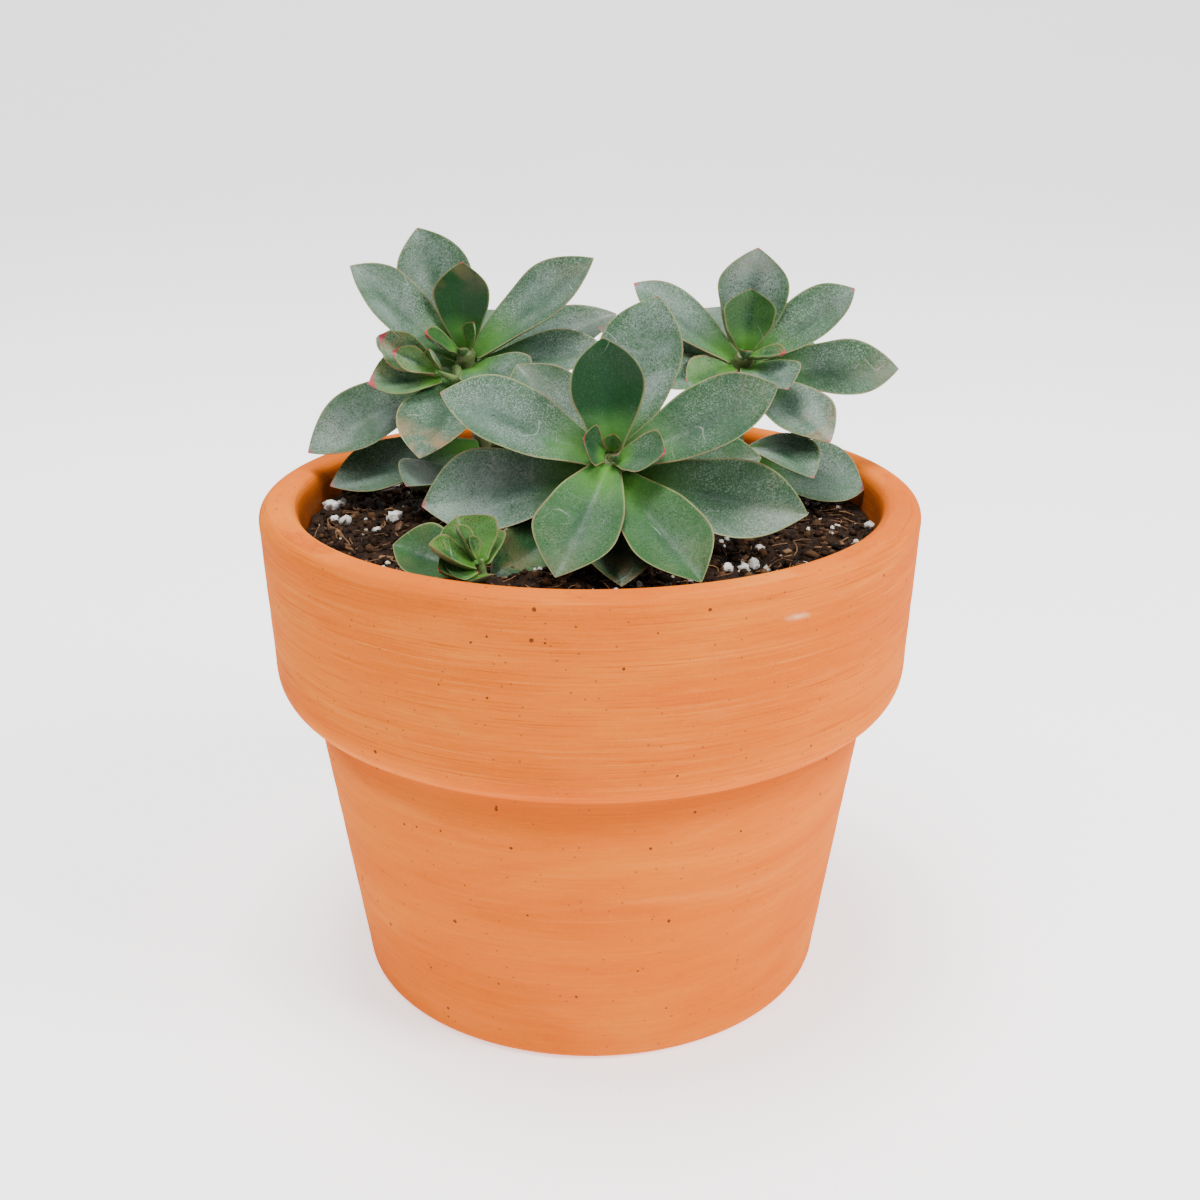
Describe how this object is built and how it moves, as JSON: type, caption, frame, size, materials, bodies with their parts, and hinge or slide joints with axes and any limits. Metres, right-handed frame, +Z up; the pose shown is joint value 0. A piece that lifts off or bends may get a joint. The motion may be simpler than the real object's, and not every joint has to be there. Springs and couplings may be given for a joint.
{
  "type": "potted succulent",
  "caption": "Round terracotta pot with a deep rounded collar and a drain hole, filled with gritty soil, and a low branching succulent of thick, pointed blue-green leaves in open rosettes.",
  "frame": {"origin": "centre of the pot's foot, on the surface that it stands on", "axes": "+Z up along the pot's axis; -Y towards the front, which the nearest rosette leans towards; +X to the right seen from the front"},
  "size_m": [0.156, 0.156, 0.1776],
  "materials": {
    "terracotta": "matte, finely brushed fired clay",
    "soil": "rough, dark fibrous potting mix with white perlite",
    "leaf": "waxy blue-green with pale margins",
    "young_leaf": "waxy saturated green with pale margins",
    "stem": "matte, woody olive"
  },
  "bodies": {
    "root": {"pot": "terracotta", "soil": "soil", "front_stem": "stem", "front_leaf_01": "leaf", "front_leaf_02": "young_leaf", "front_leaf_03": "leaf", "front_leaf_04": "leaf", "front_leaf_05": "leaf", "front_leaf_06": "leaf", "front_leaf_07": "leaf", "front_leaf_08": "leaf", "front_leaf_09": "young_leaf", "front_leaf_10": "young_leaf", "front_leaf_11": "leaf", "front_leaf_12": "leaf", "front_leaf_13": "leaf", "front_leaf_14": "leaf", "left_stem": "stem", "left_leaf_01": "leaf", "left_leaf_02": "leaf", "left_leaf_03": "young_leaf", "left_leaf_04": "leaf", "left_leaf_05": "leaf", "left_leaf_06": "leaf", "left_leaf_07": "leaf", "left_leaf_08": "leaf", "left_leaf_09": "leaf", "left_leaf_10": "young_leaf", "left_leaf_11": "young_leaf", "left_leaf_12": "leaf", "left_leaf_13": "leaf", "right_stem": "stem", "right_leaf_01": "leaf", "right_leaf_02": "leaf", "right_leaf_03": "young_leaf", "right_leaf_04": "leaf", "right_leaf_05": "leaf", "right_leaf_06": "leaf", "right_leaf_07": "young_leaf", "right_leaf_08": "young_leaf", "right_leaf_09": "young_leaf", "right_leaf_10": "leaf", "right_leaf_11": "leaf", "right_leaf_12": "leaf", "low_left_leaf_01": "leaf", "low_left_leaf_02": "leaf", "low_left_leaf_03": "leaf", "low_right_leaf_01": "leaf", "low_right_leaf_02": "leaf", "bud_stem": "stem", "bud_leaf_01": "young_leaf", "bud_leaf_02": "young_leaf", "bud_leaf_03": "young_leaf", "offset_stem": "stem", "offset_leaf_01": "young_leaf", "offset_leaf_02": "young_leaf", "offset_leaf_03": "young_leaf", "offset_leaf_04": "young_leaf", "offset_leaf_05": "young_leaf"}
  },
  "joints": []
}
